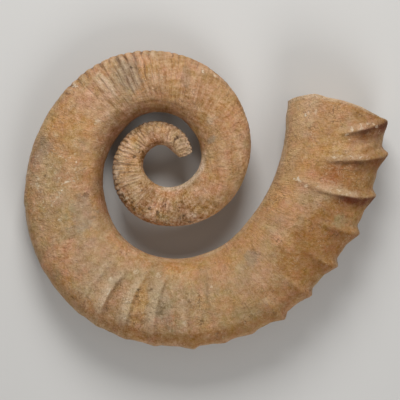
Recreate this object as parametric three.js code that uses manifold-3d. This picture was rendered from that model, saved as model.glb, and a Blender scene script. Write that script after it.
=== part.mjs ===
// An open-coiled fossil ammonite: one piece of stone that lies on its side.
// Millimetres, +Z up. Seen from above, the coil opens anticlockwise from its small
// broken tip, and the mouth ends at the right. Every cross-section of the coil lies in
// a plane through the coil's axis, so a point is given by its turn about that axis, its
// distance from it, and its height over the coil's middle plane.

import * as THREE from 'three';
import { ParametricGeometry } from 'three/addons/geometries/ParametricGeometry.js';
import { mergeVertices } from 'three/addons/utils/BufferGeometryUtils.js';
import Module from 'manifold-3d';

// ---- Driving dimensions ------------------------------------------------------------

// The whorl, at stations that stand STATION_STEP degrees of turn apart: the radius of
// its inner edge, the radius of its outer edge, and half its thickness.
const STATION_STEP = 30;
const FIRST_STATION = 30;
const STATIONS = [
  [14, 26, 5.5],
  [12, 35.5, 9.5],
  [15.5, 47.5, 13],
  [27.5, 58.5, 13.5],
  [33, 65.5, 14.5],
  [35.5, 71, 15.5],
  [33, 74, 17.5],
  [29, 74.5, 19],
  [26, 72.5, 19.5],
  [25, 75, 20.5],
  [27, 80.5, 22],
  [32, 89, 23],
  [38, 102, 25.5],
  [47, 117.5, 27.5],
  [59.5, 132, 30],
  [69, 146.5, 32],
  [73, 156.5, 33.5],
  [81, 171, 35],
  [91.5, 191, 36.5],
  [105.5, 207.5, 38],
  [110.5, 214, 40],
  [111, 218.5, 41.5],
  [111.5, 222.5, 42.5],
  [124.5, 243, 44.5],
  [151, 275, 45],
];

// The cross-section is a superellipse: 2 would be a plain ellipse, more is squarer.
const SQUARENESS = 2.25;

// The big ribs of the last part of the coil: the turn of each crest, and its height
// over the whorl at the outer edge.
const RIBS = [
  [605, 0.8],
  [614, 1],
  [624.5, 1.2],
  [636.5, 3],
  [646, 2],
  [655.5, 1.8],
  [666, 5],
  [676, 4.5],
  [688.3, 5.5],
  [699.4, 5.5],
  [711.4, 7],
  [722.8, 9.5],
  [731, 7],
];
const RIB_BACK = 3.5; // degrees of turn from a crest to the foot on its older side
const RIB_FRONT = 2.5; // the same on the side of the mouth
const RIB_SHARPNESS = 1.6;
const RIB_FADE = [0.2, 0.85]; // a rib starts and is full at these shares of the height

// The broken ends. A share of the whorl's height is 0 at its inner and 1 at its outer edge.
const TIP_TURN = 34; // where the tip's broken face meets the outer edge
const TIP_CHAMFER = 24; // how much later the inner edge starts
const MOUTH_TURN = 749.5; // where the mouth's broken edge leaves the inner edge
const MOUTH_SLANT = 18; // how much sooner it reaches the outer edge
const MOUTH_CURVE = 1.6;

// How the stone lies: its coil is tipped by LIE_TILT degrees about a level line that
// points LIE_HEADING degrees from +X, and WORN_DEPTH is worn off where it touches down.
const LIE_TILT = 2.3;
const LIE_HEADING = -98;
const WORN_DEPTH = 1.5;

// The mesh: points around the whorl, and rows along it.
const AROUND = 24;
const ROW_STEP = 5; // degrees of turn between rows where there are no big ribs
const TIP_JOIN = 66; // the rows between the tip's face and this turn fan out
const MOUTH_JOIN = 727; // and so do those between this turn and the mouth's face
const END_ROWS = 6;
const FACE_SCALES = [0, 0.35, 0.7]; // rows on a broken face, from its middle to its rim

// ---- The whorl's shape -------------------------------------------------------------

const spine = new THREE.CatmullRomCurve3(
  STATIONS.map((row) => new THREE.Vector3(...row)), false, 'catmullrom', 0.5);
const LAST_STATION = FIRST_STATION + STATION_STEP * (STATIONS.length - 1);

// The inner radius, outer radius and half thickness at any turn.
function whorlAt(turn) {
  const share = (turn - FIRST_STATION) / (LAST_STATION - FIRST_STATION);
  const { x, y, z } = spine.getPoint(THREE.MathUtils.clamp(share, 0, 1));
  return { inner: x, outer: y, halfThickness: z };
}

// How far the ribs stand over the whorl's outer edge at a turn.
function ribHeight(turn) {
  let height = 0;
  for (const [crest, rise] of RIBS) {
    const reach = turn < crest ? RIB_BACK : RIB_FRONT;
    const closeness = Math.max(0, 1 - Math.abs(turn - crest) / reach);
    height = Math.max(height, rise * closeness ** RIB_SHARPNESS);
  }
  return height;
}

// A point of the whorl: the row it lies in, and the angle around the cross-section, which
// is 0 at the outer edge and a quarter turn on the lower flank.
function whorlPoint(row, angle, target) {
  const bend = (value) => Math.sign(value) * Math.abs(value) ** (2 / SQUARENESS) * row.scale;
  const outward = bend(Math.cos(angle));
  const upward = -bend(Math.sin(angle));
  const share = (1 + outward) / 2;
  const turn = row.turnAt(share);
  const { inner, outer, halfThickness } = whorlAt(turn);
  const halfHeight = (outer - inner) / 2;
  const swell = 1 + ribHeight(turn) * THREE.MathUtils.smoothstep(share, ...RIB_FADE) / halfHeight;
  const radius = (outer + inner) / 2 + halfHeight * outward * swell;
  const heading = THREE.MathUtils.degToRad(turn);
  return target.set(
    radius * Math.cos(heading), radius * Math.sin(heading), halfThickness * upward * swell);
}

// The turns at which the two broken faces cut the whorl, at a share of its height.
const tipTurn = (share) => TIP_TURN + TIP_CHAMFER * (1 - share) ** 4;
const mouthTurn = (share) => MOUTH_TURN - MOUTH_SLANT * share ** MOUTH_CURVE;

// ---- The rows of the mesh ----------------------------------------------------------

// Each row has its turn at a share of the whorl's height, and a scale, which is 1 along
// the coil and shrinks to 0 in the middle of a broken face.
function coilRows() {
  const rows = FACE_SCALES.map((scale) => ({ turnAt: tipTurn, scale }));
  const { lerp } = THREE.MathUtils;
  const addFan = (turnAt) => rows.push({ turnAt, scale: 1 });
  const addPlain = (turn) => addFan(() => turn);

  for (let i = 0; i < END_ROWS; i += 1) {
    addFan((share) => lerp(tipTurn(share), TIP_JOIN, i / END_ROWS));
  }
  const ribbedFrom = RIBS[0][0] - RIB_BACK;
  const plainRows = Math.round((ribbedFrom - TIP_JOIN) / ROW_STEP);
  for (let i = 0; i < plainRows; i += 1) {
    addPlain(lerp(TIP_JOIN, ribbedFrom, i / plainRows));
  }
  for (const [crest] of RIBS) {
    for (const offset of [-RIB_BACK, -RIB_BACK / 3, 0, RIB_FRONT / 3, RIB_FRONT]) {
      if (crest + offset < MOUTH_JOIN) {
        addPlain(crest + offset);
      }
    }
  }
  for (let i = 0; i <= END_ROWS; i += 1) {
    addFan((share) => lerp(MOUTH_JOIN, mouthTurn(share), i / END_ROWS));
  }
  const mouthFace = FACE_SCALES.map((scale) => ({ turnAt: mouthTurn, scale }));
  return [...rows, ...mouthFace.reverse()];
}

// The closed skin. The first and last rows have shrunk to a point each.
function coilGeometry() {
  const rows = coilRows();
  const skin = (u, v, target) => {
    const row = rows[Math.round(v * (rows.length - 1))];
    const place = Math.round(u * AROUND) % AROUND;
    whorlPoint(row, (2 * Math.PI * place) / AROUND, target);
  };
  return new ParametricGeometry(skin, AROUND, rows.length - 1);
}

// ---- Solids ------------------------------------------------------------------------

const wasm = await Module();
wasm.setup();

// A closed geometry as a solid, with shared corners merged and empty triangles dropped.
function solidOf(geometry) {
  const bare = geometry.clone();
  bare.deleteAttribute('normal');
  bare.deleteAttribute('uv');
  const merged = mergeVertices(bare, 1e-3);
  const corners = [];
  for (let i = 0; i < merged.index.count; i += 3) {
    const [a, b, c] = [0, 1, 2].map((k) => merged.index.getX(i + k));
    if (a !== b && b !== c && c !== a) {
      corners.push(a, b, c);
    }
  }
  return new wasm.Manifold(new wasm.Mesh({
    numProp: 3,
    vertProperties: new Float32Array(merged.attributes.position.array),
    triVerts: new Uint32Array(corners),
  }));
}

// A solid as a geometry again.
function geometryOf(solid) {
  const mesh = solid.getMesh();
  const geometry = new THREE.BufferGeometry();
  geometry.setAttribute('position', new THREE.BufferAttribute(mesh.vertProperties, 3));
  geometry.setIndex(new THREE.BufferAttribute(mesh.triVerts, 1));
  geometry.computeVertexNormals();
  return geometry;
}

// The coil, tipped as it lies and set down with its worn spots at height 0.
function ammoniteGeometry() {
  const heading = THREE.MathUtils.degToRad(LIE_HEADING);
  const tiltAxis = new THREE.Vector3(Math.cos(heading), Math.sin(heading), 0);
  const tilt = new THREE.Matrix4().makeRotationAxis(tiltAxis, THREE.MathUtils.degToRad(LIE_TILT));
  const coil = coilGeometry().applyMatrix4(tilt);
  coil.computeBoundingBox();
  coil.translate(0, 0, -coil.boundingBox.min.z - WORN_DEPTH);
  const size = coil.boundingBox.getSize(new THREE.Vector3());
  const ground = new THREE.BoxGeometry(4 * size.x, 4 * size.y, size.z).translate(0, 0, -size.z / 2);
  const stone = geometryOf(solidOf(coil).subtract(solidOf(ground)));
  stone.computeBoundingBox();
  const centre = stone.boundingBox.getCenter(new THREE.Vector3());
  return stone.translate(-centre.x, -centre.y, 0);
}

// ---- The part ----------------------------------------------------------------------

const stone = new THREE.MeshStandardMaterial({ color: 0x9e7a58, roughness: 0.9, metalness: 0 });

const ammonite = new THREE.Mesh(ammoniteGeometry(), stone);
ammonite.name = 'ammonite';

const part = new THREE.Group();
part.add(ammonite);

export default part;
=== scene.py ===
# %% [markdown]
# # A fossil ammonite of tan stone
# The real thing is one piece of stone: the filled shell of an ammonite whose whorls never
# touch, lying on its side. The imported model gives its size, its place and the way it lies.
# This script makes the stone that is seen, in the same place, with its ribs, its broken
# ends, its pits and its colours.

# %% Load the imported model
from math import cos, radians, sin

import bpy
from mathutils import Matrix, Vector
from mathutils.bvhtree import BVHTree


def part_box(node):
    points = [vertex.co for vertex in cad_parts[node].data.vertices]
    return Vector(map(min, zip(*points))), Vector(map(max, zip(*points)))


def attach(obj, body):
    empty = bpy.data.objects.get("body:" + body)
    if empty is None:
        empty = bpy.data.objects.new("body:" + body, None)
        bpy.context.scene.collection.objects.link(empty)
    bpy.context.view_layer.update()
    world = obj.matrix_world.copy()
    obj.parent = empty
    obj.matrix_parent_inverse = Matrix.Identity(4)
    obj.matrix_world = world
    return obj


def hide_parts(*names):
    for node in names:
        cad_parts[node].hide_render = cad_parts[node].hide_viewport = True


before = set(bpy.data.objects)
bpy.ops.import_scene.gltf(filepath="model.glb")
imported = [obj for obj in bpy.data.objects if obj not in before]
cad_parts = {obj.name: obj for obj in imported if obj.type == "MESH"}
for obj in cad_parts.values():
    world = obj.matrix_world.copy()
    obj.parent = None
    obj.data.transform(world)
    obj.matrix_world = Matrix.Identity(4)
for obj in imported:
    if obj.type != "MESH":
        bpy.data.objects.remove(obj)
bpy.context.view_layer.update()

low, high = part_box("ammonite")
print("packed model:", [round(side, 4) for side in high - low], "m")

# %% [markdown]
# ## Where the coil lies
# Every cross-section of the coil stands in a plane through one axis, so the whole shape is
# easiest to write as turns about that axis. The stone is thicker near the mouth, so it lies
# slightly tipped. A single matrix, `lie`, takes a point from the coil's own level frame to
# the place where it lies, and the camera uses the same matrix to look straight down on the
# coil instead of straight down on the floor.

# %% The coil's axis and its tip
MM = 0.001
AXIS_FROM_CORNER = Vector((174.70, 216.71, 39.44)) * MM
LIE_TILT = radians(2.3)
LIE_HEADING = radians(-98)

tilt_axis = Vector((cos(LIE_HEADING), sin(LIE_HEADING), 0))
tilt = Matrix.Rotation(LIE_TILT, 4, tilt_axis)
lie = Matrix.Translation(low + AXIS_FROM_CORNER) @ tilt
print("coil's axis meets its middle plane at", [round(v, 4) for v in lie.translation])

# %% [markdown]
# ## The camera
# A long lens from far away keeps the outline free of perspective, as in a catalogue picture
# of a specimen. The lens follows from the width that it has to show at that distance.

# %% Make the camera
VIEW_WIDTH = 0.4724
VIEW_DISTANCE = 2.4
VIEW_CENTRE = Vector((31.9, -41.3, 0)) * MM


def put(name, data):
    """An object made of the data, in the scene."""
    item = bpy.data.objects.new(name, data)
    bpy.context.scene.collection.objects.link(item)
    return item


def make_camera():
    data = bpy.data.cameras.new("camera")
    data.lens = data.sensor_width * VIEW_DISTANCE / VIEW_WIDTH
    data.clip_end = 10
    camera = put("camera", data)
    camera.matrix_world = lie @ Matrix.Translation(VIEW_CENTRE + Vector((0, 0, VIEW_DISTANCE)))
    bpy.context.scene.camera = camera
    return camera


camera = make_camera()
print("lens", round(camera.data.lens, 1), "mm")

# %% [markdown]
# ## The rule of the whorl
# The whorl is written down at stations, 30 degrees of turn apart: the radius of its inner
# edge, the radius of its outer edge and half its thickness. The same stations carry the
# fine ribs: how many degrees one rib takes there, and how high it stands. A smooth curve
# through the stations then gives every value at any turn.
#
# Modelling the coil by hand with a bent tube would lose the exact outline. A rule in
# Geometry Nodes keeps it, and the ribs can follow the same turns.

# %% The stations
STATION_STEP = 30
FIRST_STATION = 30

# inner radius, outer radius, half thickness (mm), fine rib spacing (degrees), rib height (mm)
STATIONS = [
    (14, 26, 5.5, 9.5, 0.8),
    (12, 35.5, 9.5, 8.5, 0.9),
    (15.5, 47.5, 13, 7, 0.8),
    (27.5, 58.5, 13.5, 6, 0.6),
    (33, 65.5, 14.5, 5.2, 1.0),
    (35.5, 71, 15.5, 5, 1.1),
    (33, 74, 17.5, 4.8, 1.1),
    (29, 74.5, 19, 3.9, 0.4),
    (26, 72.5, 19.5, 3.6, 0.6),
    (25, 75, 20.5, 3.8, 0.4),
    (27, 80.5, 22, 4.2, 0.2),
    (32, 89, 23, 4, 0.2),
    (38, 102, 25.5, 3.6, 0.32),
    (47, 117.5, 27.5, 3.4, 0.42),
    (59.5, 132, 30, 3.7, 0.55),
    (69, 146.5, 32, 4.1, 0.9),
    (73, 156.5, 33.5, 4.1, 0.2),
    (81, 171, 35, 4, 0.08),
    (91.5, 191, 36.5, 4, 0.1),
    (105.5, 207.5, 38, 4, 0.12),
    (110.5, 214, 40, 4, 0.12),
    (111, 218.5, 41.5, 4, 0.12),
    (111.5, 222.5, 42.5, 4, 0.12),
    (124.5, 243, 44.5, 4, 0.1),
    (151, 275, 45, 4, 0.1),
]
print(len(STATIONS), "stations, the first at", FIRST_STATION, "degrees")

# %% [markdown]
# A curve needs a neighbour on both sides of each stretch, so one more station is added past
# each end, in line with the last two. The stations become the points of a straight line of
# mesh, one unit of X for each degree, and they carry their values as attributes.


# %% Make the station line
def point_mesh(name, points, edges=(), **attributes):
    """A helper object: points that carry values, for a node tree to read."""
    mesh = bpy.data.meshes.new(name)
    mesh.from_pydata(points, edges, [])
    for key, values in attributes.items():
        is_vector = hasattr(values[0], "__len__")
        layer = mesh.attributes.new(key, "FLOAT_VECTOR" if is_vector else "FLOAT", "POINT")
        for item, value in zip(layer.data, values):
            setattr(item, "vector" if is_vector else "value", value)
    return put(name, mesh)


def past_end(last, before):
    return tuple(2 * a - b for a, b in zip(last, before))


def station_line():
    rows = [past_end(STATIONS[0], STATIONS[1]), *STATIONS, past_end(STATIONS[-1], STATIONS[-2])]
    turns = [FIRST_STATION + STATION_STEP * (i - 1) for i in range(len(rows))]
    counts = [0.0]
    lengths = [0.0]
    for before, after in zip(rows, rows[1:]):
        counts.append(counts[-1] + STATION_STEP / (0.5 * (before[3] + after[3])))
        middle_radius = sum(before[:2] + after[:2]) / 4
        lengths.append(lengths[-1] + radians(STATION_STEP) * middle_radius)
    return turns, point_mesh(
        "station_line",
        [(turn, 0, 0) for turn in turns],
        [(i, i + 1) for i in range(len(rows) - 1)],
        section=[tuple(v * MM for v in row[:3]) for row in rows],
        fine=[(count, row[4] * MM, length * MM) for count, row, length in zip(counts, rows, lengths)],
    )


station_turns, stations = station_line()
print("fine ribs are counted from", station_turns[0], "degrees")

# %% [markdown]
# ## The big ribs
# The last part of the coil has ribs that stand far apart. Near the mouth they flare at the
# outer edge, and further back they are low steps on the flank. Each is one point of a
# second helper object. It has a flare, which is part of the outline, and a step on the flank,
# and each of the two fades out at some share of the height. The steep side of a step faces
# the mouth on the older ribs, and the tip on the young ones.

# %% The rib points
TO_MOUTH = 1
TO_TIP = -1

# turn of the crest, flare (mm), flare starts at, step (mm), step starts at, steep side, painted shade
# behind the flare
RIBS = [
    (554, 1.2, 0.85, 0, 0.8, TO_MOUTH, 0),
    (579, 0.8, 0.8, 0.2, 0.5, TO_MOUTH, 0),
    (597.5, 0.5, 0.8, 0.5, 0.15, TO_MOUTH, 0),
    (605, 0.8, 0.8, 1.5, 0.2, TO_MOUTH, 0),
    (614.5, 1, 0.8, 1.4, 0.18, TO_MOUTH, 0),
    (624.5, 1.2, 0.8, 1.3, 0.15, TO_MOUTH, 0),
    (636.5, 3.4, 0.88, 0.4, 0.4, TO_MOUTH, 0),
    (646.5, 2, 0.85, 0.6, 0.05, TO_TIP, 0),
    (655.5, 2.4, 0.7, 0.2, 0.5, TO_TIP, 0),
    (666, 5.8, 0.65, 0.5, 0.65, TO_TIP, 0.2),
    (676.6, 5.3, 0.65, 0.5, 0.6, TO_TIP, 0.2),
    (688.3, 6.6, 0.6, 0.6, 0.6, TO_TIP, 0.3),
    (699.8, 7.3, 0.6, 0.7, 0.5, TO_TIP, 0.4),
    (711.2, 6.4, 0.5, 1.7, 0.12, TO_TIP, 1.4),
    (722.8, 8.4, 0.45, 2.1, 0.38, TO_TIP, 0.9),
    (732, 5.8, 0.45, 1.9, 0.48, TO_TIP, 1.2),
]

rib_points = point_mesh(
    "rib_points",
    [(rib[0], 0, 0) for rib in RIBS],
    rise=[(rib[1] * MM, rib[3] * MM, rib[5]) for rib in RIBS],
    start=[(rib[2], rib[4], rib[6]) for rib in RIBS],
)
print(len(RIBS), "big ribs from", RIBS[0][0], "to", RIBS[-1][0], "degrees")

# %% [markdown]
# Some grooves between the ribs are deeper than their neighbours, and they are coloured darker:
# painted shade, with dirt in places. They are the points of a third helper: turn, depth, and the
# shares of the height between which they run.

# %% The groove points
# turn, depth (mm), inner share, outer share
GROOVES = [
    (17, 0.6, 0.1, 0.9),
    (35, 0.8, 0.1, 0.9),
    (51, 0.5, 0.3, 0.9),
    (67.5, 1.3, 0.2, 0.9),
    (79, 0.5, 0.3, 0.9),
    (89, 0.7, 0.2, 0.85),
    (101, 0.5, 0.1, 0.7),
    (113, 0.6, 0.2, 0.8),
    (123, 0.5, 0.2, 0.9),
    (131.5, 0.8, 0.35, 1.0),
    (137.5, 0.6, 0.3, 0.9),
    (143.5, 0.6, 0.1, 0.6),
    (165.5, 0.5, 0.3, 0.8),
    (173, 0.6, 0.3, 0.9),
    (178.5, 0.9, 0.3, 0.95),
    (183.2, 0.5, 0.4, 0.9),
    (188, 0.9, 0.25, 0.85),
    (192, 0.9, 0.7, 1.0),
    (203.5, 0.7, 0.3, 0.9),
    (225, 0.5, 0.1, 0.5),
    (245.7, 0.7, 0.25, 0.7),
    (250, 0.6, 0.2, 0.7),
    (254.3, 0.8, 0.2, 0.65),
    (258.2, 0.8, 0.2, 0.6),
    (264, 0.7, 0.3, 0.75),
    (272.5, 0.6, 0.35, 0.7),
    (464.5, 0.4, 0.35, 0.7),
    (469.3, 0.6, 0.35, 0.8),
    (472.6, 0.95, 0.35, 0.85),
    (476.7, 1.05, 0.3, 1.0),
    (480.2, 0.8, 0.35, 0.9),
    (485.2, 0.7, 0.45, 1.0),
    (489.5, 0.5, 0.4, 0.95),
    (497.7, 0.6, 0.45, 0.85),
    (673.6, 0.6, 0.3, 0.5),
]

groove_points = point_mesh(
    "groove_points",
    [(groove[0], 0, 0) for groove in GROOVES],
    cut=[(groove[1] * MM, groove[2], groove[3]) for groove in GROOVES],
)
print(len(GROOVES), "deep grooves")

# %% [markdown]
# ## Writing formulas as nodes
# A node tree for a shape like this is mostly arithmetic. The small class below wraps an
# output socket, so that `(1 + outward) * 0.5` in Python adds the two Math nodes and their
# links. It works in a geometry tree and in a shader tree.


# %% A number that flows through a tree
def both_ways(operation):
    """Two methods: for a flow before the sign, and for a flow after it."""
    return (lambda self, other: calc(operation, self, other),
            lambda self, other: calc(operation, other, self))


class Flow:
    """An output socket, with the usual arithmetic."""

    __add__, __radd__ = both_ways("ADD")
    __sub__, __rsub__ = both_ways("SUBTRACT")
    __mul__, __rmul__ = both_ways("MULTIPLY")
    __truediv__, __rtruediv__ = both_ways("DIVIDE")
    __pow__ = both_ways("POWER")[0]

    def __init__(self, tree, socket):
        self.tree = tree
        self.socket = socket

    def __neg__(self):
        return calc("MULTIPLY", self, -1.0)


print("a flow knows + - * / and **")


# %% Add nodes and link them
def feed(socket, value):
    """Links a flow to an input, or sets the input's own value."""
    if isinstance(value, Flow):
        value.tree.links.new(value.socket, socket)
    elif value is not None:
        socket.default_value = value


def add(tree, kind, inputs=(), **settings):
    """Adds a node with its settings and inputs, given by name or by place."""
    node = tree.nodes.new(kind)
    for key, value in settings.items():
        setattr(node, key, value)
    pairs = inputs.items() if isinstance(inputs, dict) else enumerate(inputs)
    for key, value in pairs:
        feed(node.inputs[key], value)
    return node


def out(node, key=0):
    return Flow(node.id_data, node.outputs[key])


def calc(operation, *values, clamp=False):
    tree = next(v.tree for v in values if isinstance(v, Flow))
    return out(add(tree, "ShaderNodeMath", values, operation=operation, use_clamp=clamp))


print("nodes can be added")

# %% Slopes, vectors and noise
NOISE_SPREAD = 2.6
SEED_SHIFT = (3.7, 5.3, 7.1)


def smooth(value, start, end):
    """0 before start, 1 after end and an easy slope between them."""
    node = add(
        value.tree,
        "ShaderNodeMapRange",
        {"Value": value, "From Min": start, "From Max": end},
        interpolation_type="SMOOTHSTEP",
    )
    return out(node)


def band(value, start, full, fade, end):
    """1 from full to fade, and 0 before start and after end."""
    return smooth(value, start, full) * smooth(value, end, fade)


def vector(tree, x=0.0, y=0.0, z=0.0):
    return out(add(tree, "ShaderNodeCombineXYZ", (x, y, z)))


def parts_of(value):
    """The three numbers of a vector."""
    node = add(value.tree, "ShaderNodeSeparateXYZ", (value,))
    return [out(node, i) for i in range(3)]


def noise(place, scale, detail=2.0, roughness=0.5, seed=0.0):
    """Soft noise around 0, from about -1 to 1. Its seed moves it to another part."""
    shifted = out(add(
        place.tree,
        "ShaderNodeVectorMath",
        (place, tuple(seed * shift for shift in SEED_SHIFT)),
        operation="ADD",
    ))
    node = add(place.tree, "ShaderNodeTexNoise", {
        "Vector": shifted, "Scale": scale, "Detail": detail, "Roughness": roughness})
    return (out(node) - 0.5) * NOISE_SPREAD


print("node helpers ready")

# %% [markdown]
# ## The tree and its inputs
# The sizes that shape the stone as a whole are inputs of the tree, each with a name, so the
# same tree could make another specimen. The mesh starts as a flat grid: one way around the
# whorl, the other way along it.

# %% The sizes of this stone
SHAPE_INPUTS = {
    "Around": 80,
    "Rows": 1228,
    "Tip Rows": 7,
    "Mouth Rows": 16,
    "Squareness": 2.25,
    "Tip Turn": 34.0,
    "Tip Chamfer": 15.0,
    "Tip Join": 66.0,
    "Mouth Turn": 749.5,
    "Mouth Slant": 18.0,
    "Mouth Curve": 1.6,
    "Mouth Join": 727.0,
    "Rib Back": 4.6,
    "Rib Front": 2.3,
    "Step Gentle": 4.0,
    "Step Steep": 1.25,
    "Groove Reach": 1.35,
    "Lip Tuck": 5.0,
    "Relief": 1.0,
    "Seed": 4.0,
}
print(len(SHAPE_INPUTS), "sizes")

# %% Open the tree
OTHER_INPUTS = {
    "Stations": "Geometry", "Ribs": "Object", "Grooves": "Object", "Marks": "Object",
    "Stone": "Material", "Place": "Vector", "Tilt": "Vector",
}


def open_tree(name, kind, results, inputs):
    """A new tree. Each of its sockets is given by a kind, or by a first value."""
    tree = bpy.data.node_groups.new(name, kind)
    for in_out, sockets in (("OUTPUT", results), ("INPUT", inputs)):
        for key, value in sockets.items():
            value_kind = {int: "Int", float: "Float", tuple: "Vector"}.get(type(value), value)
            socket = tree.interface.new_socket(
                key, in_out=in_out, socket_type="NodeSocket" + value_kind)
            if not isinstance(value, str):
                socket.default_value = value
    return tree, tree.nodes.new("NodeGroupInput")


tree, given = open_tree(
    "coiled_whorl", "GeometryNodeTree", {"Geometry": "Geometry"}, {**OTHER_INPUTS, **SHAPE_INPUTS})


def want(name):
    """One of the tree's own inputs."""
    return out(given, name)


def geo(kind, inputs=(), **settings):
    """Adds a geometry node and gives its first output."""
    return out(add(tree, "GeometryNode" + kind, inputs, **settings))


print("tree", tree.name, "has", len(given.outputs) - 1, "inputs")

# %% [markdown]
# ## Rows along the coil
# Rows cost triangles, so they stand close where ribs are fine or tall and further apart on
# the smooth stretches. A Float Curve turns the row's share of the way into a turn. At both
# ends a few rows stay at the last turn and shrink to a point, which closes the broken face.

# %% Row spacing
# from this turn on, degrees between rows
ROW_PLAN = [(34, 0.6), (60, 0.55), (300, 0.75), (440, 0.52), (505, 0.95), (592, 0.45), (749.5, 0.45)]


def row_curve():
    """Points of the curve from the share of all rows to the share of all turns."""
    counts = [0.0]
    for (start, step), (end, _) in zip(ROW_PLAN, ROW_PLAN[1:]):
        counts.append(counts[-1] + (end - start) / step)
    first, last = ROW_PLAN[0][0], ROW_PLAN[-1][0]
    print("the plan asks for", round(counts[-1]), "rows")
    return [
        (count / counts[-1], (turn - first) / (last - first))
        for count, (turn, _) in zip(counts, ROW_PLAN)
    ]


def float_curve(value, points):
    """A value read off a line through points. The curve itself only runs from 0 to 1."""
    lowest = min(point[1] for point in points)
    reach = max(point[1] for point in points) - lowest
    node = add(value.tree, "ShaderNodeFloatCurve", {"Value": value})
    curve = node.mapping.curves[0]
    while len(curve.points) < len(points):
        curve.points.new(0.5, 0.5)
    for point, (place, height) in zip(curve.points, points):
        point.location = (place, (height - lowest) / reach)
        point.handle_type = "VECTOR"
    node.mapping.update()
    return out(node) * reach + lowest


grid = geo("MeshGrid", {
    "Size X": 1.0, "Size Y": 1.0,
    "Vertices X": want("Around") + 1, "Vertices Y": want("Rows") + 1})
grid_x, grid_y, _ = parts_of(geo("InputPosition"))
angle = (grid_x + 0.5) * radians(360)
row = calc("ROUND", (grid_y + 0.5) * want("Rows"))
rows_left = want("Rows") - row
ring = calc("MINIMUM", calc("MINIMUM", row / want("Tip Rows"), rows_left / want("Mouth Rows")), 1.0)
coil_rows = want("Rows") - want("Tip Rows") - want("Mouth Rows")
way = calc("MULTIPLY", (row - want("Tip Rows")) / coil_rows, 1.0, clamp=True)
straight_turn = want("Tip Turn") + float_curve(way, row_curve()) * (
    want("Mouth Turn") - want("Tip Turn"))

# %% [markdown]
# ## The cross-section and the broken ends
# A section is a superellipse: a plain ellipse whose flanks are slightly flatter. `outward`
# and `upward` run from -1 to 1 across it, and `share` from 0 at the inner edge to 1 at the
# outer edge.
#
# The two ends are breaks, not cuts. Their turn depends on the place in the section, so the
# rows next to them fan out to meet it, and noise makes the broken face rough.


# %% Section and ends
def bend(value):
    size = calc("POWER", calc("ABSOLUTE", value), 2 / want("Squareness"))
    return calc("SIGN", value) * size


outward = bend(calc("COSINE", angle)) * ring
upward = -(bend(calc("SINE", angle)) * ring)
share = (1 + outward) * 0.5

# how far the mouth's chipped edge stands past its smooth line: share, degrees
MOUTH_CHIPS = [
    (0, -0.5), (0.06, -0.5), (0.2, -0.5), (0.3, -0.55), (0.41, -1.8),
    (0.47, -1.9), (0.62, -1.7), (0.8, -1.3), (0.92, -0.5), (1, -0.9),
]
TIP_HOLLOW = 4.0
TIP_CRUMBLE = 1.5

face_place = vector(tree, outward, upward, want("Seed"))
crumble = noise(face_place, 2.2, 4.0, 0.6) * 0.45 + noise(face_place, 9.0, 2.0, 0.6) * 0.12
inside = smooth(ring, 1.0, 0.7)
mouth_end = want("Mouth Turn") - want("Mouth Slant") * share ** want("Mouth Curve")
mouth_end = mouth_end + float_curve(share, MOUTH_CHIPS) + crumble * (0.5 + inside)
tip_end = want("Tip Turn") + want("Tip Chamfer") * (1 - share) ** TIP_HOLLOW + crumble * TIP_CRUMBLE

past_mouth_join = calc("MAXIMUM", straight_turn - want("Mouth Join"), 0.0)
past_tip_join = calc("MAXIMUM", want("Tip Join") - straight_turn, 0.0)
mouth_pull = past_mouth_join / (want("Mouth Turn") - want("Mouth Join"))
tip_pull = past_tip_join / (want("Tip Join") - want("Tip Turn"))
turn = straight_turn + mouth_pull * (mouth_end - want("Mouth Turn"))
turn = turn + tip_pull * (tip_end - want("Tip Turn"))
print("the deepest chip of the mouth's edge is", -min(chip[1] for chip in MOUTH_CHIPS), "degrees")

# %% [markdown]
# ## Reading the stations
# The station line becomes a smooth Catmull-Rom curve, which passes through every station.
# Sample Curve then reads the attributes at a share of its length, which is a turn, because
# the stations stand at equal distances.

# %% Sample the stations
station_curve = geo("MeshToCurve", (want("Stations"),))
station_curve = geo("CurveSplineType", (station_curve,), spline_type="CATMULL_ROM")
station_curve = geo("SetSplineResolution", {"Geometry": station_curve, "Resolution": 24})


def stored(name, kind="FLOAT_VECTOR"):
    """What a point carries under a name."""
    return geo("InputNamedAttribute", {"Name": name}, data_type=kind)


def at_station(name, at_turn):
    source = stored(name)
    factor = (at_turn - station_turns[0]) / (station_turns[-1] - station_turns[0])
    return parts_of(geo("SampleCurve", {
        "Curves": station_curve, "Factor": factor, "Value": source,
    }, data_type="FLOAT_VECTOR", mode="FACTOR"))


inner, outer, half_thickness = at_station("section", turn)
_, fine_height, length_along = at_station("fine", turn)
print("stations reach to", station_turns[-1], "degrees")

# %% [markdown]
# ## The ribs as relief
# Sample Nearest finds the crest that belongs to a point, and the distance to it gives the
# height. The ribs aren't straight: a line gives how far they sweep at each share of the
# height, and a little noise keeps them from looking ruled.
#
# The fine ribs are counted instead: each whole number of the count is a groove. Their
# height comes from the stations, and noise wears them away in places.

# %% How a rib sweeps
coil_place = vector(tree, turn * 0.05, share * 1.6, upward)
wander = noise(coil_place, 1.0, 2.0, 0.5, seed=1.0)

# how far a rib sweeps past its crest at the outer edge: share, degrees
SWEEP = [(0, 3.2), (0.18, 2.2), (0.3, 0.9), (0.45, -0.9), (0.6, -1.4), (0.8, -1.3), (0.93, -0.8), (1, 0)]

rib_turn = turn - float_curve(share, SWEEP) + wander * 0.4
print("a rib sweeps over", round(SWEEP[0][1] - min(step[1] for step in SWEEP), 1), "degrees")


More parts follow.
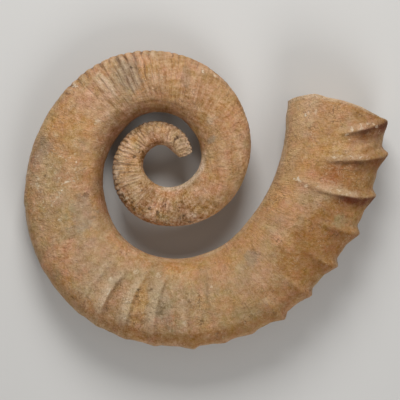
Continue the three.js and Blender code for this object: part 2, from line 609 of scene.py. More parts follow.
# %% Find the nearest point of a helper
def nearest_point(helper, place, *names):
    """The position of the helper's point that is nearest to a place, and what it stores."""
    geometry = out(add(tree, "GeometryNodeObjectInfo", {"Object": want(helper)}), "Geometry")
    index = geo("SampleNearest", {"Geometry": geometry, "Sample Position": place})
    sources = [geo("InputPosition"), *map(stored, names)]
    return [
        geo("SampleIndex", {
            "Geometry": geometry, "Index": index, "Value": source}, data_type="FLOAT_VECTOR")
        for source in sources
    ]


crest_place, crest_rise, crest_start = nearest_point("Ribs", vector(tree, rib_turn), "rise", "start")
flare_rise, step_rise, steep_side = parts_of(crest_rise)
flare_start, step_start, lee_shade_strength = parts_of(crest_start)
past_crest = rib_turn - parts_of(crest_place)[0]
down_step = past_crest * steep_side
print("each point knows its crest")


# %% Height of the big ribs
def sawtooth(past, gentle, steep, gentle_power, steep_power, roundness):
    """About 1 on the crest and 0 at the foot of either side, with a rounded crest."""
    off_crest = calc("SQRT", past * past + roundness ** 2)
    is_steep = smooth(past, -0.3, 0.3)
    reach = gentle + is_steep * (steep - gentle)
    closeness = calc("MAXIMUM", 1 - (off_crest - roundness) / (reach - roundness), 0.0)
    return closeness ** (gentle_power + is_steep * (steep_power - gentle_power))


uneven = 1 + wander * 0.35
flare_part = smooth(share, flare_start, 0.97)
step_fade = 1 - 0.8 * smooth(share, 0.72, 0.92)
step_part = smooth(share, step_start, step_start + 0.2) * step_fade * uneven
flare = sawtooth(past_crest, want("Rib Back"), want("Rib Front"), 1.25, 1.5, 0.55)
flare_height = flare_rise * flare_part * flare
step = sawtooth(down_step, want("Step Gentle"), want("Step Steep"), 1.3, 0.9, 0.25)
step_height = step_rise * step_part * step
print("big ribs reach back", SHAPE_INPUTS["Rib Back"], "degrees and forward", SHAPE_INPUTS["Rib Front"])

# %% Height of the fine ribs
# how far a fine rib or groove leans back towards the inner edge: turn, degrees
LEAN = [(34, 35), (85, 35), (100, 22), (125, 18), (137, 8), (150, 2), (749.5, 2)]

turn_share = calc("MULTIPLY", (turn - LEAN[0][0]) / (LEAN[-1][0] - LEAN[0][0]), 1.0, clamp=True)
lean = float_curve(
    turn_share, [((at - LEAN[0][0]) / (LEAN[-1][0] - LEAN[0][0]), back) for at, back in LEAN])
leaned_turn = turn - (1 - share) * lean

worn = smooth(noise(coil_place, 1.6, 3.0, 0.6, seed=2.0), -0.9, 0.5)
fine_wander = noise(coil_place, 2.4, 2.0, 0.5, seed=3.0)
fine_phase = at_station("fine", leaned_turn)[0] + fine_wander * 0.28
groove_shape = calc("ABSOLUTE", calc("SINE", fine_phase * radians(180))) ** 0.7
scalloped = smooth(turn, 410.0, 465.0)
jagged = smooth(turn, 232.0, 205.0) * smooth(wander, -0.3, 0.3) * 0.3
fine_part = smooth(share, 0.06, 0.3) * (0.65 + smooth(share, 0.78, 1.0) * (0.6 * scalloped + jagged))
nicked_edge = band(turn, 430.0, 475.0, 500.0, 540.0) * smooth(share, 0.86, 1.0)
rib_relief = fine_height * fine_part + nicked_edge * 0.55 * MM
fine_relief = rib_relief * worn * (groove_shape - 0.75) * 1.6
print("fine ribs lean back", LEAN[0][1], "degrees at the tip and", LEAN[-1][1], "at the mouth")

# %% Depth of the grooves
groove_turn = leaned_turn + wander * 0.6
groove_place, groove_cut = nearest_point("Grooves", vector(tree, groove_turn), "cut")
off_groove = calc("ABSOLUTE", groove_turn - parts_of(groove_place)[0]) * radians(1)
groove_reach = want("Groove Reach") * (1 + 0.8 * smooth(turn, 340.0, 260.0)) * MM
off_groove = off_groove * (outer + inner) * 0.5 / groove_reach
groove_depth, groove_start, groove_end = parts_of(groove_cut)
groove_along = smooth(share, groove_start, groove_start + 0.15)
groove_along = groove_along * smooth(share, groove_end + 0.05, groove_end - 0.1)
groove_line = smooth(off_groove, 1.0, 0.0) * groove_along * smooth(upward, -0.2, 0.1)
groove_line = groove_line * (1 + wander * 0.5)
print("the tree has", len(tree.nodes), "nodes so far")

# %% [markdown]
# ## Putting the points in place
# The first move lays the grid onto the coil, with the flare of the big ribs in it, because
# the flare is part of the outline. The seam along the coil and the two closed ends are
# merged. The second move pushes each point along its normal by everything that is finer:
# low ribs on the flank, fine ribs, dents, pits and the crumbled ends.

# %% Lay the grid on the coil
half_height = (outer - inner) * 0.5
swell = 1 + flare_height / half_height
lip_tuck = smooth(turn, 742.0, 749.5) * smooth(share, 0.22, 0.0) * want("Lip Tuck") * MM
radius = (outer + inner) * 0.5 + half_height * outward * swell + lip_tuck
heading = turn * radians(1)
coil_point = vector(
    tree,
    radius * calc("COSINE", heading),
    radius * calc("SINE", heading),
    half_thickness * upward * swell,
)


def store(geometry, **values):
    """Lets each point carry these values from here on."""
    for name, value in values.items():
        geometry = geo("StoreNamedAttribute", {
            "Geometry": geometry, "Name": name, "Value": value}, data_type="FLOAT", domain="POINT")
    return geometry


# the gentle side of a step, which faces the key lamp
facing_up = band(down_step, -3.3 - steep_side * 0.9, -1.2, -0.1, 0.6)
# painted shade with some dirt: the steep side just past a step's crest
shade_and_dirt_behind_step = band(down_step, 0.1, 0.7, 1.0, 2.4)
# painted shade: the older side of a flared rib, which faces away from the key lamp
shade_behind_flare = band(past_crest, -5.5, -1.0, -0.4, 0.1)
skin = store(
    grid,
    turn=turn,
    share=share,
    side=upward,
    along=length_along,
    height=outer - inner,
    radius=radius,
    broken=inside,
    pale=facing_up * step_part * step_rise / MM,
    drop=shade_and_dirt_behind_step * step_part * step_rise / MM,
    lee=shade_behind_flare * smooth(share, 0.5, 0.8) * lee_shade_strength,
    lip=smooth(mouth_pull, 0.9, 0.98) + smooth(tip_pull, 0.85, 0.98),
    fine=fine_relief / MM,
    groove=groove_line * groove_depth / MM,
    fine_height=step_height + fine_relief - groove_line * groove_depth,
)
SEAM_GAP = 0.02 * MM
laid = geo("SetPosition", {"Geometry": skin, "Position": coil_point})
closed = geo("MergeByDistance", {"Geometry": laid, "Distance": SEAM_GAP})
print("points closer than", SEAM_GAP / MM, "mm are merged")

# %% [markdown]
# ## Marks that belong to this specimen
# Some chips, pits and rubbed spots are in known places on the side that faces up. Each is one
# point of a helper mesh, in a space of turn and share, with its size and its depth. The
# tree looks up the nearest mark, measures the real distance to it and presses it in.

# %% The mark points
SHARE_SPREAD = 45.0

# turn, share, size (mm), depth (mm), lightness of its colour
MARKS = [
    (713.5, 0.21, 4.5, 0.4, 0.85),
    (712.3, 0.25, 4.5, 0.3, 0.6),
    (711, 0.33, 4, 0.3, 0.5),
    (740.6, 0.2, 4.5, 0.4, 0.75),
    (740.2, 0.29, 4.5, 0.4, 0.45),
    (729.6, 0.6, 4, 0.4, 0.5),
    (727.9, 0.64, 3.5, 0.3, 0.4),
    (731.3, 0.83, 3.5, 0.3, 0.5),
    (730.6, 0.88, 3, 0.3, 0.4),
    (701.7, 0.22, 8, 0.3, 0.26),
    (686.6, 0.27, 8, -0.3, 0.26),
    (664, 0.75, 8, -0.4, 0.28),
    (663.3, 0.34, 4, 0.2, 0.28),
    (672.6, 0.26, 8, 0.4, -0.3),
    (662.5, 0.29, 6, 0.3, 0.28),
    (738.2, 0.48, 5, 0.3, -0.4),
    (703, 0.81, 8, 0.5, -0.3),
    (601.8, 0.45, 4.5, 0.3, 0.6),
    (603.2, 0.58, 5, 0.3, 1.0),
    (584.7, 0.53, 4, 0.3, 0.8),
    (610.8, 0.24, 6, -0.2, 0.5),
    (622.5, 0.19, 6, -0.2, 0.5),
    (647.6, 0.36, 3.5, -0.2, 0.5),
    (647.6, 0.19, 6, -0.2, 0.22),
    (634, 0.72, 6, -0.3, 0.5),
    (604.9, 0.53, 4, 0.4, -0.5),
    (605.6, 0.77, 4, 0.4, -0.5),
    (607.4, 0.44, 4, 0.4, -0.5),
    (614.6, 0.4, 4.5, 0.8, -0.8),
    (615, 0.52, 4.5, 0.7, -0.7),
    (620.9, 0.38, 4, 0.6, -0.6),
    (626.2, 0.49, 4, 0.3, -0.3),
    (625.6, 0.6, 5, 0.3, -0.3),
    (640.2, 0.73, 6, 0.3, -0.5),
    (510.2, 0.34, 6, -0.3, 0.5),
    (501.1, 0.94, 5, 0.3, 0.7),
    (552.9, 0.48, 4, -0.3, 0.9),
    (549.2, 0.45, 4.5, -0.3, 0.7),
    (549.8, 0.81, 4, -0.3, 0.7),
    (546.4, 0.82, 4, -0.3, 0.6),
    (536.1, 0.87, 4, -0.2, 0.6),
    (525.8, 0.73, 5, 0.2, 0.4),
    (545.4, 0.73, 5, 0.4, -0.5),
    (559.4, 0.2, 6, 0.3, -0.4),
    (432, 0.89, 4, 0.3, 0.8),
    (424.8, 0.95, 3.5, 0.4, 0.6),
    (472.9, 0.74, 3, 0.4, -0.7),
    (84.5, 0.52, 3.5, 0.9, -0.7),
    (79.5, 0.63, 4, 0.9, -0.6),
    (74, 0.48, 3.5, 0.2, 0.8),
    (168.1, 0.32, 3.5, 0.8, -0.7),
    (152.7, 0.32, 3.5, 0.8, -0.6),
    (158, 0.22, 3.5, 0.8, -0.7),
    (135.9, 0.74, 3.5, 0.7, -0.7),
    (211.8, 0.89, 3.5, 0.9, -0.7),
    (216, 0.83, 3.5, 0.3, 0.55),
    (222.5, 0.8, 3, 0.5, -0.6),
    (229, 0.88, 3.5, 0.6, -0.6),
    (236.5, 0.78, 3, 0.5, -0.6),
    (241.9, 0.63, 4, 0.6, -0.8),
    (252.6, 0.69, 4, 0.6, -0.7),
    (258.7, 0.46, 4, 0.8, -0.9),
    (281.9, 0.78, 3.5, 0.8, -0.7),
    (286.6, 0.93, 3.5, 0.6, -0.6),
    (264.5, 0.87, 4, 0.3, 0.55),
    (293.5, 0.82, 3.5, 0.3, 0.5),
]

mark_points = point_mesh(
    "mark_points",
    [(m[0], m[1] * SHARE_SPREAD, 0) for m in MARKS],
    press=[(m[2] * MM, m[3] * MM, m[4]) for m in MARKS],
)
print(len(MARKS), "marks")

# %% Look up the nearest mark
here_turn, here_share = stored("turn", "FLOAT"), stored("share", "FLOAT")
mark_place, mark_press = nearest_point(
    "Marks", vector(tree, here_turn, here_share * SHARE_SPREAD), "press")
mark_size, mark_depth, mark_light = parts_of(mark_press)
mark_turn, mark_spread, _ = parts_of(mark_place)
off_turn = (here_turn - mark_turn) * radians(1) * stored("radius", "FLOAT")
off_share = (here_share - mark_spread / SHARE_SPREAD) * stored("height", "FLOAT")
on_underside = smooth(stored("side", "FLOAT"), 0.4, 0.1)
mark_near = calc("SQRT", off_turn * off_turn + off_share * off_share) / mark_size + on_underside * 3
mark_mask = smooth(mark_near, 0.65, 0.15)
print("each point knows its mark")

# %% [markdown]
# ## Weathering
# Dents of several sizes, from a hand's width down to a grain, and small pits in patches.
# The noise reads the point's place in space, so it doesn't stretch with the coil.

# %% Push along the normal
here = geo("InputPosition")
dents = noise(here, 16.0, 2.0, 0.5, seed=4.0) * 0.7 + noise(here, 55.0, 3.0, 0.6, seed=5.0) * 0.6
dents = dents + noise(here, 170.0, 2.0, 0.6, seed=6.0) * 0.42
pit_patch = smooth(noise(here, 22.0, 2.0, 0.5, seed=7.0), -0.2, 0.6)
pits = smooth(noise(here, 150.0, 1.0, 0.5, seed=8.0), 0.5, 1.0) * pit_patch * 0.55
crumbs = noise(here, 70.0, 4.0, 0.65, seed=9.0) * stored("broken", "FLOAT") * 1.1
weather = (dents - pits + crumbs) * MM * want("Relief") - mark_mask * mark_depth
push = stored("fine_height", "FLOAT") + weather
normal = geo("InputNormal")
offset = out(add(tree, "ShaderNodeVectorMath", {"Vector": normal, "Scale": push}, operation="SCALE"))
marked = store(closed, mark_near=mark_near, mark_light=mark_light, dent=(dents - pits * 1.5))
weathered = geo("SetPosition", {"Geometry": marked, "Offset": offset})
print("relief is scaled by", SHAPE_INPUTS["Relief"])

# %% [markdown]
# ## Laying the stone down
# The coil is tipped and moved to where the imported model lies. What would reach below the
# surface that it lies on is worn flat.

# %% Tip, place and finish
moved = geo("Transform", {
    "Geometry": weathered, "Translation": want("Place"), "Rotation": want("Tilt")})
x, y, z = parts_of(geo("InputPosition"))
rested = geo("SetPosition", {
    "Geometry": moved, "Position": vector(tree, x, y, calc("MAXIMUM", z, 0.0))})
shaded = geo("SetShadeSmooth", {"Geometry": rested})
painted = geo("SetMaterial", {"Geometry": shaded, "Material": want("Stone")})
realized = geo("RealizeInstances", (painted,))
add(tree, "NodeGroupOutput", (realized,))
print("tree has", len(tree.nodes), "nodes")

# %% [markdown]
# ## The stone's colours
# The stone is tan, and it varies on every scale: broad clouds of ochre, pink and grey-green,
# streaks that follow the growth lines, a fine salt-and-pepper grain, cream rims that are painted
# highlight, cream crests that are painted highlight and rubbed wear, and dark grooves that are
# painted shade with some dirt. One shader node group makes a cloud mask, and it is placed many
# times with its own values. A second group makes a stain at a place on the coil. The Principled
# shader stays in the material itself.


# %% Colours
def srgb(code):
    """A linear colour from its six-digit code."""
    values = [int(code[i:i + 2], 16) / 255 for i in (0, 2, 4)]
    return (*(v / 12.92 if v <= 0.04045 else ((v + 0.055) / 1.055) ** 2.4 for v in values), 1.0)


TAN = srgb("b98e68")
OCHRE = srgb("c29158")
PINK = srgb("c29173")
SAGE = srgb("a28e68")
SLATE = srgb("938573")
RUST = srgb("a56e47")
BRONZE = srgb("96693a")
SALMON = srgb("cf9c76")
LEATHER = srgb("7d563a")
UMBER = srgb("5f432d")
PLUM = srgb("6b3a22")
ASH = srgb("b39c80")
CREAM = srgb("dcc4a6")
CHALK = srgb("e6d8bf")
DIRT_AND_SHADE = srgb("3a2b1e")
print("tan in linear light:", [round(v, 3) for v in TAN[:3]])


# %% Shader groups for clouds and stains
def cloud_group():
    """A soft-edged mask of clouds: Cover is the share of the surface that it takes."""
    group, entry = open_tree("cloud", "ShaderNodeTree", {"Mask": "Float"}, {
        "Place": (0.0, 0.0, 0.0), "Scale": 20.0, "Detail": 4.0, "Roughness": 0.55,
        "Cover": 0.5, "Softness": 0.15, "Seed": 0.0})
    place, seed = out(entry, "Place"), out(entry, "Seed")
    shift = vector(group, seed * 3.1, seed * 1.7, seed)
    shifted = out(add(group, "ShaderNodeVectorMath", (place, shift), operation="ADD"))
    texture = add(group, "ShaderNodeTexNoise", {
        "Vector": shifted, "Scale": out(entry, "Scale"), "Detail": out(entry, "Detail"),
        "Roughness": out(entry, "Roughness")})
    middle = 0.66 - out(entry, "Cover") * 0.32
    mask = smooth(out(texture), middle - out(entry, "Softness"), middle + out(entry, "Softness"))
    add(group, "NodeGroupOutput", (mask,))
    return group


def stain_group():
    """A ragged oval stain at a turn and share of the coil, on the side that faces up."""
    group, entry = open_tree("stain", "ShaderNodeTree", {"Mask": "Float"}, {
        "Turn": 0.0, "Share": 0.0, "Side": 0.0, "Ragged": 0.0,
        "At Turn": 0.0, "At Share": 0.5, "Turn Reach": 10.0, "Share Reach": 0.2})
    along = (out(entry, "Turn") - out(entry, "At Turn")) / out(entry, "Turn Reach")
    across = (out(entry, "Share") - out(entry, "At Share")) / out(entry, "Share Reach")
    distance = calc("SQRT", along * along + across * across) + out(entry, "Ragged") * 0.6
    mask = smooth(distance, 1.15, 0.55) * smooth(out(entry, "Side"), -0.3, 0.1)
    add(group, "NodeGroupOutput", (mask,))
    return group


CLOUD = cloud_group()
STAIN = stain_group()
print("shader groups:", CLOUD.name, STAIN.name)

# %% [markdown]
# The material reads the attributes that the geometry tree stored, so the painted shade and the
# dirt lie in the grooves and the painted highlight and the rubbed cream on the crests, wherever
# they are.

# %% Open the stone material
stone = bpy.data.materials.new("fossil_stone")
stone.use_nodes = True
mat = stone.node_tree
shader = mat.nodes["Principled BSDF"]
# the point that is being coloured, in the stone's own space
spot = out(add(mat, "ShaderNodeTexCoord"), "Object")


def attribute(name):
    """A value that the geometry tree stored."""
    return out(add(mat, "ShaderNodeAttribute", attribute_name=name), "Fac")


at_turn, at_share, at_side = attribute("turn"), attribute("share"), attribute("side")
at_groove_shade_and_dirt, at_drop_shade_and_dirt, at_lit_slope = attribute("groove"), attribute("drop"), attribute("pale")
at_fine, at_lee_shade, at_dent = attribute("fine"), attribute("lee"), attribute("dent")
at_mark, at_mark_light = attribute("mark_near"), attribute("mark_light")
at_along, at_height = attribute("along"), at_share * attribute("height")
streak_place = vector(mat, at_along, at_height * 0.15, at_side * 0.006)
wall_place = vector(mat, at_along * 0.06, at_height, at_side * 0.006)
spiral_place = vector(mat, at_along * 0.12, at_height + at_along * 0.3, at_side * 0.006)


def cloud(place, scale, cover, softness=0.15, detail=4.0, roughness=0.55, seed=0.0):
    return out(add(mat, "ShaderNodeGroup", {
        "Place": place, "Scale": scale, "Cover": cover, "Softness": softness,
        "Detail": detail, "Roughness": roughness, "Seed": seed,
    }, node_tree=CLOUD))


# places of the colour sockets of a Mix node that mixes colours
MIX_FACTOR, MIX_BASE, MIX_TOP, MIX_RESULT = 0, 6, 7, 2


class Paint:
    """The colour so far, and a way to lay the next one over it."""

    def __init__(self, colour):
        self.colour = colour

    def lay(self, tint, mask, strength=1.0):
        node = add(mat, "ShaderNodeMix", data_type="RGBA", clamp_factor=True)
        feed(node.inputs[MIX_FACTOR], mask * strength)
        feed(node.inputs[MIX_BASE], self.colour)
        feed(node.inputs[MIX_TOP], tint)
        self.colour = out(node, MIX_RESULT)


print("the material can read what each point carries")

# %% Broad clouds and streaks
paint = Paint(TAN)
paint.lay(OCHRE, cloud(spot, 18.0, 0.5, 0.2, 2.0, seed=1.0), 0.6)
paint.lay(PINK, cloud(spot, 30.0, 0.42, 0.18, 2.0, seed=2.0), 0.5)
paint.lay(SAGE, cloud(spot, 34.0, 0.4, 0.18, 2.0, seed=3.0), 0.5)
streaky = cloud(spot, 20.0, 0.5, 0.2, seed=9.0)
paint.lay(CREAM, cloud(streak_place, 60.0, 0.4, 0.2, 3.0, 0.6, seed=4.0) * streaky, 0.25)
paint.lay(UMBER, cloud(streak_place, 90.0, 0.35, 0.2, 3.0, 0.6, seed=5.0) * streaky, 0.2)
print("broad colour ready")

# %% [markdown]
# ## Stains
# Some areas have a colour of their own, such as the grey ribs high on the left and the bronze
# patches near the mouth. Each is a stain with its place; one cream stain along the inner edge
# near the mouth is painted highlight. After that the edges, the inner walls and the lees of the
# flared ribs are coloured by turn and share: painted shade on the inner walls and the lees,
# painted highlight on the rims, and a bronze outer edge.

# %% Stains in their places
ragged = noise(spot, 60.0, 6.0, 0.75, seed=3.0) * 1.6

# turn, share, turn reach, share reach, colour, strength
STAINS = [
    (60, 0.5, 36, 0.6, CREAM, 0.22),
    (42, 0.8, 10, 0.35, ASH, 0.5),
    (118, 1.0, 48, 0.24, UMBER, 0.4),
    (145, 0.0, 38, 0.22, LEATHER, 0.6),
    (196, 0.55, 9, 0.2, LEATHER, 0.25),
    (232, 0.38, 17, 0.28, LEATHER, 0.4),
    (240, 0.24, 24, 0.14, LEATHER, 0.3),
    (290, 0.54, 20, 0.26, LEATHER, 0.35),
    (320, 0.65, 24, 0.4, LEATHER, 0.2),
    (428, 0.55, 42, 0.5, TAN, 0.45),
    (410, 0.35, 6, 0.06, CREAM, 0.35),
    (393, 0.24, 5, 0.1, SLATE, 0.5),
    (441, 0.66, 3.5, 0.2, SLATE, 0.3),
    (606, 0.42, 42, 0.42, ASH, 0.42),
    (228, 0.86, 22, 0.16, BRONZE, 0.6),
    (214, 0.93, 8, 0.1, UMBER, 0.35),
    (262, 0.95, 34, 0.1, RUST, 0.6),
    (280, 0.8, 12, 0.2, LEATHER, 0.3),
    (258, 0.55, 14, 0.25, PINK, 0.4),
    (476, 0.62, 9, 0.36, SLATE, 0.55),
    (490, 0.62, 3.5, 0.3, CREAM, 0.55),
    (504, 0.5, 9, 0.35, CREAM, 0.25),
    (500, 0.5, 12, 0.35, PINK, 0.4),
    (520, 0.6, 14, 0.3, OCHRE, 0.18),
    (534, 0.84, 7, 0.14, SLATE, 0.4),
    (568, 0.3, 10, 0.2, SLATE, 0.5),
    (560, 0.62, 22, 0.3, SAGE, 0.35),
    (579, 0.72, 5, 0.3, SALMON, 0.6),
    (620, 0.45, 14, 0.35, SAGE, 0.35),
    (606.5, 0.6, 3, 0.24, BRONZE, 0.35),
    (616.5, 0.58, 3, 0.28, OCHRE, 0.5),
    (627, 0.6, 3.5, 0.22, SLATE, 0.35),
    (636, 0.6, 9, 0.3, SAGE, 0.3),
    (640, 0.9, 45, 0.07, BRONZE, 0.5),
    (665, 0.55, 24, 0.35, SAGE, 0.3),
    (668, 0.5, 10, 0.25, PINK, 0.25),
    (656, 0.8, 9, 0.15, SAGE, 0.3),
    (690, 0.72, 22, 0.3, BRONZE, 0.75),
    (718, 0.75, 8, 0.3, BRONZE, 0.65),
    (734, 0.85, 7, 0.2, BRONZE, 0.5),
    # painted highlight: a lighter inner edge near the mouth
    (728, 0.04, 34, 0.14, CREAM, 0.25),
    (744, 0.15, 12, 0.2, CREAM, 0.25),
    (717, 0.55, 4, 0.2, RUST, 0.4),
    (701.5, 0.82, 2.5, 0.12, SAGE, 0.7),
    (728, 0.5, 5, 0.25, OCHRE, 0.4),
    (671, 0.28, 4, 0.1, SLATE, 0.5),
]


def stain(at, share_at, turn_reach, share_reach):
    return out(add(mat, "ShaderNodeGroup", {
        "Turn": at_turn, "Share": at_share, "Side": at_side, "Ragged": ragged,
        "At Turn": at, "At Share": share_at, "Turn Reach": turn_reach, "Share Reach": share_reach,
    }, node_tree=STAIN))


for at, share_at, turn_reach, share_reach, tint, strength in STAINS:
    paint.lay(tint, stain(at, share_at, turn_reach, share_reach), strength)
print(len(STAINS), "stains")

# %% Edges, walls and lees: painted light and shade
inner_edge_shade = smooth(at_share, 0.2, 0.03)
late = smooth(at_turn, 570, 600)
middle_coil = band(at_turn, 440, 460, 560, 590)
# partly orange stone, partly painted highlight: lighter orange on the inner wall of the last coil, where
# it faces up into the open middle
paint.lay(OCHRE, smooth(at_share, 0.3, 0.1) * smooth(at_turn, 590, 660), 0.35)
wall_lines = cloud(wall_place, 260.0, 0.5, 0.15, 3.0, 0.6, seed=11.0)
# painted shade: darker brown on the inner wall under the top of the coil, broken into streaks, and on
# the inner edge of the middle coil, in the narrow gap between whorls
inner_wall_shade = smooth(at_share, 0.34, 0.14) * smooth(at_turn, 415, 437) * smooth(at_turn, 540, 500)
paint.lay(LEATHER, inner_wall_shade * (0.25 + 0.75 * wall_lines), 0.65)
paint.lay(LEATHER, inner_edge_shade * middle_coil, 0.75)
# painted highlight: a cream rim along the inner edge of the inner coil, where it faces the open middle
inner_rim_highlight = smooth(at_share, 0.15, 0.04) * smooth(at_turn, 230, 250) * smooth(at_turn, 400, 360)
paint.lay(CREAM, inner_rim_highlight, 0.8)
# painted highlight: a thin broken cream line along the outer edge of the middle coil and the inner edge
# of the last coil, where grazing light catches them
rim_light_breakup = noise(spot, 20.0, 5.0, 0.65, seed=31.0) + ragged * 0.3
outer_rim_highlight = smooth(at_share + rim_light_breakup * 0.02, 0.95, 0.995) * smooth(at_turn, 470, 540)
late_rim_highlight = smooth(at_share - rim_light_breakup * 0.02, 0.05, 0.005) * smooth(at_turn, 600, 650)
paint.lay(CREAM, (outer_rim_highlight + late_rim_highlight) * smooth(rim_light_breakup, -0.7, 0.5), 0.42)
paint.lay(BRONZE, smooth(at_share, 0.75, 0.92) * late * smooth(ragged, -1.0, 0.6), 0.4)
# painted shade: dark plum on the lee of the flared ribs, where the slope faces away from the key lamp
lee_shade_rag = smooth(ragged, -0.9, 0.5)
paint.lay(PLUM, at_lee_shade * (0.4 + 0.6 * lee_shade_rag), 0.9)
print("edges and walls have their colour")

# %% [markdown]
# ## Grain, and painted shade and highlight on the relief
# Noise of several sizes makes the grain, and it is stronger on the rough early coil. Then
# painted shade with some dirt goes into the grooves and a painted highlight with some rubbed
# wear onto the crests, read from the stored relief.

# %% Fine colour
early = smooth(at_turn, 340, 290)
speckle = noise(spot, 560.0, 2.0, 0.7, seed=5.0)
grains = noise(spot, 230.0, 3.0, 0.7, seed=16.0)
mottle = noise(spot, 90.0, 3.0, 0.7, seed=12.0)
patchy = noise(spot, 36.0, 4.0, 0.65, seed=13.0)
paint.lay(RUST, smooth(mottle, 0.0, 1.0), 0.25)
paint.lay(SLATE, smooth(noise(spot, 70.0, 2.0, 0.5, seed=14.0), 0.1, 1.1), 0.35)
top_ribs = band(at_turn, 455, 472, 490, 515)
fan = band(at_turn, 388, 425, 462, 480)
fan = fan * smooth(at_share, 0.2, 0.4) * smooth(at_share, 1.0, 0.7)
ribbed = early * 0.5 + top_ribs + fan
rough_part = 0.8 - late * smooth(at_share, 0.5, 0.25) * 0.15 + early * 0.65
rough_part = rough_part + band(at_turn, 590, 602, 630, 650) * 0.35
streaks = noise(streak_place, 420.0, 3.0, 0.7, seed=17.0)
spiral = noise(spiral_place, 240.0, 3.0, 0.6, seed=18.0)
spiral = spiral * smooth(at_turn, 260, 300) * smooth(at_turn, 475, 450)
detail = speckle * 0.3 + streaks * (0.1 + ribbed * 0.35) + grains * 0.34 + mottle * (0.4 - late * 0.1)
detail = (detail + patchy * (0.25 - late * 0.06) + spiral * 0.35) * rough_part
saturation = 1.05 - detail * 0.5 + patchy * 0.1
tint_shift = noise(spot, 75.0, 4.0, 0.7, seed=23.0)
paint.colour = out(add(mat, "ShaderNodeHueSaturation", {
    "Hue": 0.5 + tint_shift * 0.022, "Saturation": saturation, "Value": 1 + detail,
    "Color": paint.colour}))
print("grain is ready")

# %% Painted shade and dirt in the grooves, painted highlight and wear on the crests
# painted shade with some dirt in the fine grooves, grey on the early coil; painted highlight with some
# rubbed wear on the crests
groove = smooth(at_fine, -0.06, -0.5)
crest = smooth(at_fine, 0.02, 0.3)
patches = cloud(spot, 60.0, 0.6, 0.2, seed=6.0)
groove = groove * calc("MAXIMUM", patches, top_ribs * 0.7 + early * 0.5 + fan * 0.2)
paint.lay(UMBER, groove, 0.75 - early * 0.2)
paint.lay(SLATE, groove * early * smooth(at_turn, 225, 195), 0.5)
paint.lay(CREAM, crest, 0.25 + early * smooth(at_turn, 225, 195) * 0.15)
low_ribs = band(at_turn, 590, 598, 630, 640)
# painted highlight, partly pale stone: cream on the gentle step slopes that face the key lamp
paint.lay(CREAM, at_lit_slope * smooth(grains, -1.2, 0.4), 0.13 + low_ribs * 0.17)
flecks = smooth(at_lit_slope, 0.9, 1.5) * cloud(spot, 230.0, 0.12, 0.07, 2.0, seed=20.0)
paint.lay(CHALK, flecks, 0.45)
paint.lay(CREAM, attribute("lip") * smooth(grains, -0.8, 0.4), 0.6)
# painted highlight on the raised dents and painted shade in the sunken dents and pits
paint.lay(CREAM, smooth(at_dent, 0.2, 1.0), 0.2)
paint.lay(DIRT_AND_SHADE, smooth(at_dent, -0.5, -1.3), 0.4)
print("the material has", len(mat.nodes), "nodes so far")

# %% [markdown]
# ## Cracks, grains and pits
# Old stone has short hairlines, some dark with dirt and some pale where they were scratched.
# A noise is 0 along lines, so a narrow band around 0 gives them, inside scattered patches.
# Small clouds with a low cover make the loose grains and the pits.


# %% Cracks and scratches
def hairlines(scale, width, seed):
    """Short thin lines: where soft noise crosses 0, inside scattered patches."""
    level = calc("ABSOLUTE", noise(spot, scale, 3.0, 0.65, seed=seed))
    patch = cloud(spot, scale * 0.8, 0.25, 0.08, 3.0, seed=seed + 1)
    return smooth(level, width, width * 0.3) * patch


paint.lay(UMBER, hairlines(52.0, 0.035, 30.0), 0.4 + late * 0.2)
paint.lay(CREAM, hairlines(66.0, 0.045, 40.0), 0.28)
print("cracks and scratches ready")

# %% Grains, pits and marks
sandy = stain(547, 0.65, 18, 0.4)
light_grains = cloud(spot, 300.0, 0.02, 0.06, 1.0, seed=7.0)
light_grains = light_grains * cloud(spot, 30.0, 0.45, seed=8.0)
sand = cloud(spot, 250.0, 0.06, 0.04, 1.0, seed=19.0)
sand = sand * cloud(spot, 30.0, 0.45, seed=21.0)
dark_pits = cloud(spot, 230.0, -0.05, 0.06, 2.0, seed=9.0)
dark_pits = dark_pits * cloud(spot, 40.0, 0.5, seed=10.0)
outer_early = early * smooth(at_share, 0.62, 0.85) * smooth(at_turn, 150, 212)
crumbly = cloud(spot, 210.0, 0.15, 0.08, 2.0, seed=22.0) * outer_early
pale_grains = light_grains * (0.1 + sandy * 0.6 + early * 0.1) + sand * sandy * 0.7
paint.lay(CHALK, pale_grains, 0.9)
pale_crumbs = cloud(spot, 190.0, 0.14, 0.07, 2.0, seed=24.0) * outer_early
paint.lay(CREAM, pale_crumbs, 0.6)
paint.lay(DIRT_AND_SHADE, dark_pits * (0.15 + early * 0.35) + crumbly * 0.6, 0.8)
# painted shade, with some dirt, in the deep grooves and past the low steps, broken up by noise
dirt_and_shade_rag = smooth(noise(spot, 130.0, 3.0, 0.7, seed=15.0), -0.5, 0.3)
paint.lay(UMBER, smooth(at_groove_shade_and_dirt, 0.1, 0.9) * (0.5 + 0.5 * dirt_and_shade_rag), 0.68 - early * 0.2)
# painted shade with some dirt on the steep side of the low steps
paint.lay(UMBER, at_drop_shade_and_dirt * (0.3 + 0.7 * dirt_and_shade_rag), 0.35)
mark_tint = smooth(at_mark + grains * 1.1 + speckle * 0.5, 0.6, 0.25)
paint.lay(CREAM, mark_tint * smooth(at_mark_light, 0.1, 0.5), 0.6)
paint.lay(CHALK, mark_tint * smooth(at_mark_light, 0.45, 1.0), 1.0)
paint.lay(DIRT_AND_SHADE, mark_tint * calc("MAXIMUM", -at_mark_light, 0.0), 0.85)
feed(shader.inputs["Base Color"], paint.colour)
print("grains, pits and marks are coloured")

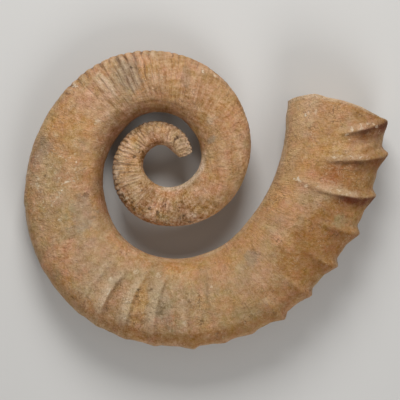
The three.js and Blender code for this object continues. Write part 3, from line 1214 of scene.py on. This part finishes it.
# %% Surface finish
BUMP_DEPTH = 0.002
coarse = noise(spot, 150.0, 4.0, 0.7, seed=10.0)
height = coarse * 0.8 + grains * 0.3 + streaks * 0.4 + speckle * 0.12 - dark_pits * 0.4
bump = add(mat, "ShaderNodeBump", {
    "Strength": 0.9, "Distance": BUMP_DEPTH, "Height": height})
feed(shader.inputs["Normal"], out(bump, "Normal"))
feed(shader.inputs["Roughness"], 0.84 + speckle * 0.05 - crest * 0.05)
shader.inputs["Specular IOR Level"].default_value = 0.25
print("stone material has", len(mat.nodes), "nodes")

# %% [markdown]
# ## Making the stone
# The modifier's inputs are set by each socket's identifier, before the object is first
# evaluated. The result is copied into a plain mesh, and the helpers are removed.


# %% Run the tree
def grow_stone():
    modifier = stations.modifiers.new("coiled_whorl", "NODES")
    modifier.node_group = tree
    tilt_turns = tilt.to_euler()
    values = {"Ribs": rib_points, "Grooves": groove_points, "Marks": mark_points, "Stone": stone,
              "Place": lie.translation[:], "Tilt": tilt_turns[:], **SHAPE_INPUTS}
    for item in tree.interface.items_tree:
        if item.in_out == "INPUT" and item.name in values:
            modifier[item.identifier] = values[item.name]
    grown = stations.evaluated_get(bpy.context.evaluated_depsgraph_get())
    mesh = bpy.data.meshes.new_from_object(grown)
    mesh.name = "ammonite_stone"
    stations.modifiers.remove(modifier)
    for helper in (stations, rib_points, groove_points, mark_points):
        bpy.data.objects.remove(helper)
    return put("ammonite_stone", mesh)


ammonite = grow_stone()
mesh = ammonite.data
mesh.calc_loop_triangles()
print("stone:", len(mesh.vertices), "vertices,", len(mesh.loop_triangles), "triangles")

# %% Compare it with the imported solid
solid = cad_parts["ammonite"].data
solid_tree = BVHTree.FromPolygons([v.co for v in solid.vertices], [p.vertices for p in solid.polygons])
SAMPLE_EVERY = 37
gaps = sorted(solid_tree.find_nearest(v.co)[3] for v in list(mesh.vertices)[::SAMPLE_EVERY])
volume = sum(
    mesh.vertices[t.vertices[0]].co.dot(
        mesh.vertices[t.vertices[1]].co.cross(mesh.vertices[t.vertices[2]].co)) / 6
    for t in mesh.loop_triangles)
print("volume", round(volume * 1e6), "cubic cm; middle gap", round(gaps[len(gaps) // 2] * 1000, 2),
      "mm; largest", round(gaps[-1] * 1000, 2), "mm")

# %% Hand the stone to the frame
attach(ammonite, "root")
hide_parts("ammonite")
print(ammonite.name, "rides on the root body")

# %% [markdown]
# ## Floor and light
# A pale matt floor and two large soft lamps: the key lamp stands beyond the top of the coil,
# and a weaker one opposite fills its shadows, with a weak white sky. The floor reaches far
# past the stone on every side.


# %% Floor, lamps and sky
FLOOR_REACH = 8.0
FLOOR_COLOUR = (0.6, 0.59, 0.57, 1)


def make_floor():
    data = bpy.data.meshes.new("floor")
    corners = [(x * FLOOR_REACH, y * FLOOR_REACH, 0) for x, y in ((-1, -1), (1, -1), (1, 1), (-1, 1))]
    data.from_pydata(corners, [], [(0, 1, 2, 3)])
    pale = bpy.data.materials.new("pale_floor")
    pale.use_nodes = True
    finish = pale.node_tree.nodes["Principled BSDF"].inputs
    finish["Base Color"].default_value = FLOOR_COLOUR
    finish["Roughness"].default_value = 0.9
    data.materials.append(pale)
    floor = put("floor", data)


def make_lamp(name, heading, height, distance, size, power):
    """A square area lamp that looks at the middle of the stone."""
    data = bpy.data.lights.new(name, "AREA")
    data.size = size
    data.energy = power
    lamp = put(name, data)
    around, above = radians(heading), radians(height)
    flat = cos(above) * distance
    place = Vector((cos(around) * flat, sin(around) * flat, sin(above) * distance))
    lamp.location = place
    lamp.rotation_euler = (-place).to_track_quat("-Z", "Y").to_euler()


make_floor()
make_lamp("key_lamp", heading=94, height=42, distance=2.0, size=0.9, power=31.5)
make_lamp("fill_lamp", heading=-70, height=45, distance=2.4, size=1.2, power=20)
world = bpy.data.worlds.new("studio")
world.use_nodes = True
sky = world.node_tree.nodes["Background"].inputs
sky["Color"].default_value = (1.0, 1.0, 1.0, 1)
sky["Strength"].default_value = 0.26
bpy.context.scene.world = world
bpy.context.scene.view_settings.view_transform = "Standard"
print("floor reaches", FLOOR_REACH, "m; two lamps and a white sky")
